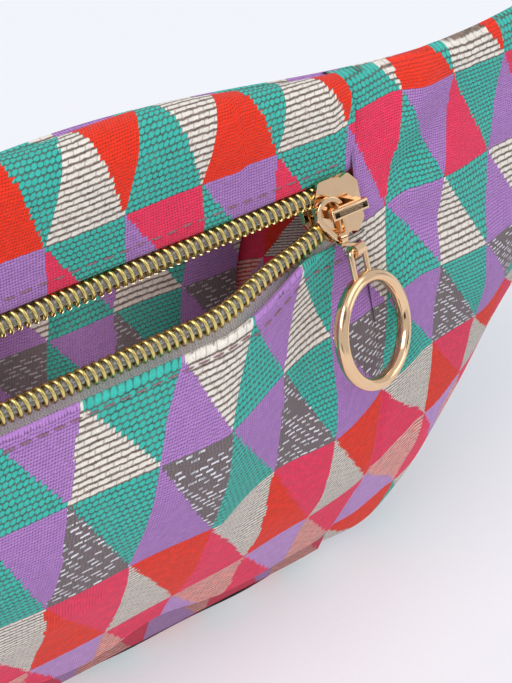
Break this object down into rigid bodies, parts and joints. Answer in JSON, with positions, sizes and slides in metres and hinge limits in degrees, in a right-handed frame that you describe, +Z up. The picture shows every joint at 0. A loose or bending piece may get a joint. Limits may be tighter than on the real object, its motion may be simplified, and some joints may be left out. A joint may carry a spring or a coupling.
{
  "type": "waist pack",
  "caption": "Crescent waist pack in triangle jacquard, zip open, with a coil zip, ring puller, webbing strap, adjuster and side-release buckle.",
  "frame": {"origin": "centre of the flat base, on the surface that the pack stands on", "axes": "+X along the zip, to the right as the front is seen; the front faces -Y; +Z up"},
  "size_m": [0.3968, 0.0925, 0.1207],
  "materials": {
    "jacquard": "multicolour triangle jacquard, matt floats with metallic thread",
    "lining": "the same jacquard, in the shade of the pack",
    "zip_tape": "pale grey ribbed tape",
    "coil_metal": "bright gold metallised coil",
    "zip_cord": "grey white twisted cord",
    "rose_gold": "polished rose gold plate",
    "steel": "bright",
    "webbing": "teal polypropylene webbing",
    "moulded": "fine satin texture"
  },
  "bodies": {
    "root": {"yoke_panel": "jacquard", "back_panel": "jacquard", "base_panel": "jacquard", "wing_panel_left": "jacquard", "wing_panel_right": "jacquard", "lining_back": "lining", "zip_tape_upper": "zip_tape", "zip_coil_upper": "coil_metal", "zip_cord_upper": "zip_cord", "zip_stop_open_end": "steel", "zip_stops_closed_end": "steel", "strap_left": "webbing", "strap_right": "webbing", "buckle_female": "moulded"},
    "lower_lip": {"front_panel": "jacquard", "lining_front": "lining", "zip_coil_lower": "coil_metal", "zip_cord_lower": "zip_cord", "zip_tape_lower": "zip_tape"},
    "slider": {"slider_body": "rose_gold", "slider_bridge": "rose_gold", "slider_lock_spring": "steel"},
    "puller_eye": {"puller_eye": "rose_gold"},
    "puller_connector": {"puller_connector": "rose_gold"},
    "puller_ring": {"puller_ring": "rose_gold"},
    "buckle_plug": {"buckle_male": "moulded"},
    "buckle_arm_upper": {"buckle_arm_upper": "moulded"},
    "buckle_arm_lower": {"buckle_arm_lower": "moulded"},
    "tri_glide": {"tri_glide": "moulded"}
  },
  "joints": [
    {"name": "zip_slide", "type": "slide", "parent": "root", "child": "slider", "axis": [-1, 0, 0], "range_m": [0, 0.145], "deforming": ["front_panel", "lining_front", "zip_coil_lower", "zip_cord_lower", "zip_tape_lower"]},
    {"name": "lip_close", "type": "slide", "parent": "root", "child": "lower_lip", "axis": [0, 0.8944, 0.4472], "range_m": [0, 0.00984], "deforming": ["front_panel", "lining_front", "zip_coil_lower", "zip_cord_lower", "zip_tape_lower"]},
    {"name": "eye_swivel", "type": "hinge", "parent": "slider", "child": "puller_eye", "pos_m": [0.072, -0.02324, 0.09518], "axis": [0, -0.9397, 0.342], "range_deg": [-8, 20]},
    {"name": "puller_lift", "type": "hinge", "parent": "puller_eye", "child": "puller_connector", "pos_m": [0.0731, -0.02484, 0.09079], "axis": [-1, 0, 0], "range_deg": [0, 90]},
    {"name": "ring_swing", "type": "hinge", "parent": "puller_connector", "child": "puller_ring", "pos_m": [0.0756, -0.02581, 0.08813], "axis": [-0.9455, -0.3059, 0.1114], "range_deg": [0, 75]},
    {"name": "buckle_slide", "type": "slide", "parent": "root", "child": "buckle_plug", "axis": [-1, 0, 0], "range_m": [0, 0.034], "deforming": ["strap_left", "buckle_arm_upper", "buckle_arm_lower"]},
    {"name": "arm_upper_flex", "type": "hinge", "parent": "buckle_plug", "child": "buckle_arm_upper", "pos_m": [-0.0002, 0.051, 0.035], "axis": [0, 1, 0], "range_deg": [0, 8], "stiffness_Nm_per_rad": 0.6},
    {"name": "arm_lower_flex", "type": "hinge", "parent": "buckle_plug", "child": "buckle_arm_lower", "pos_m": [-0.0002, 0.051, 0.014], "axis": [0, -1, 0], "range_deg": [0, 8], "stiffness_Nm_per_rad": 0.6},
    {"name": "glide_slide", "type": "slide", "parent": "root", "child": "tri_glide", "axis": [1, 0, 0], "range_m": [-0.028, 0.034]}
  ],
  "couplings": [
    {"joint": "lip_close", "follows": "zip_slide", "ratio": 0.067853},
    {"joint": "arm_lower_flex", "follows": "arm_upper_flex", "ratio": 1}
  ]
}
